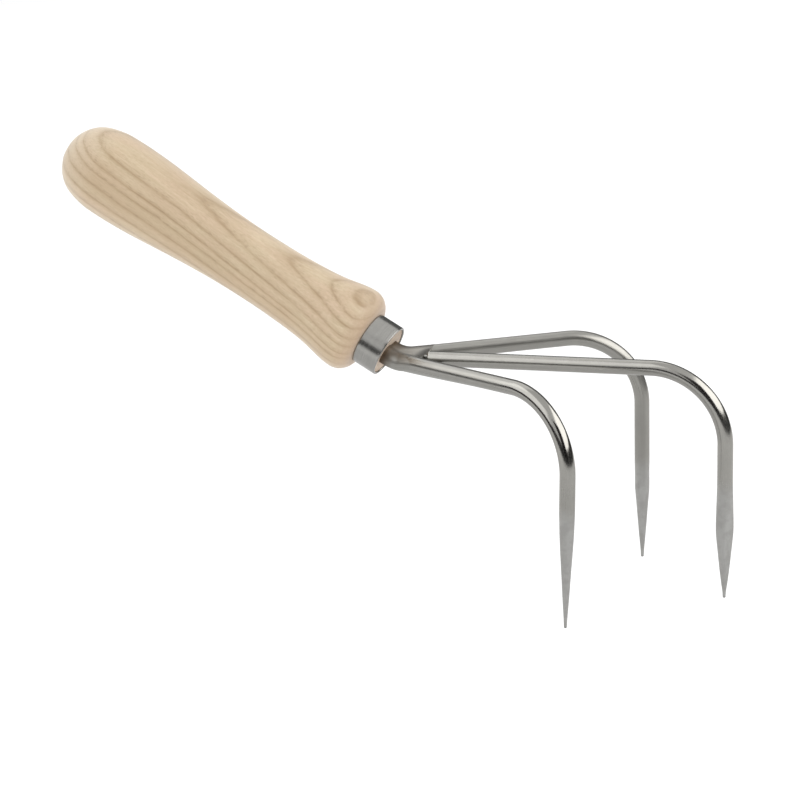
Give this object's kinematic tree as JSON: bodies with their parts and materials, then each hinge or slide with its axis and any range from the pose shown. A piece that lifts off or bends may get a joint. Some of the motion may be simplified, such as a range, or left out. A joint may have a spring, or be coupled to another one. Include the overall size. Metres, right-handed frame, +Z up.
{
  "type": "hand rake",
  "caption": "Short garden rake for one hand, with bent steel tines welded to a twin-rod tang in a turned wooden handle with a steel ferrule.",
  "frame": {"origin": "on the handle's axis at its waist, the middle of the grip", "axes": "+Z up, +X forward from the hand to the tines, +Y to the left; the handle slopes down to the head at 28.5 degrees and the tines point down"},
  "size_m": [0.28, 0.0932, 0.1753],
  "materials": {
    "ash_wood": "turned ash, fine sanded and thinly oiled, with brown grain lines",
    "ferrule_steel": "satin stainless tube, brushed round its axis, with a bright rim",
    "tine_steel": "satin stainless rod, smoother at the bends, ground at the points",
    "weld_steel": "weld metal ground back to a dull satin web, slightly straw coloured by heat"
  },
  "bodies": {
    "root": {"handle": "ash_wood", "ferrule": "ferrule_steel", "left_tine": "tine_steel", "right_tine": "tine_steel", "centre_tine": "tine_steel", "neck_weld": "weld_steel", "centre_weld": "weld_steel"}
  },
  "joints": []
}
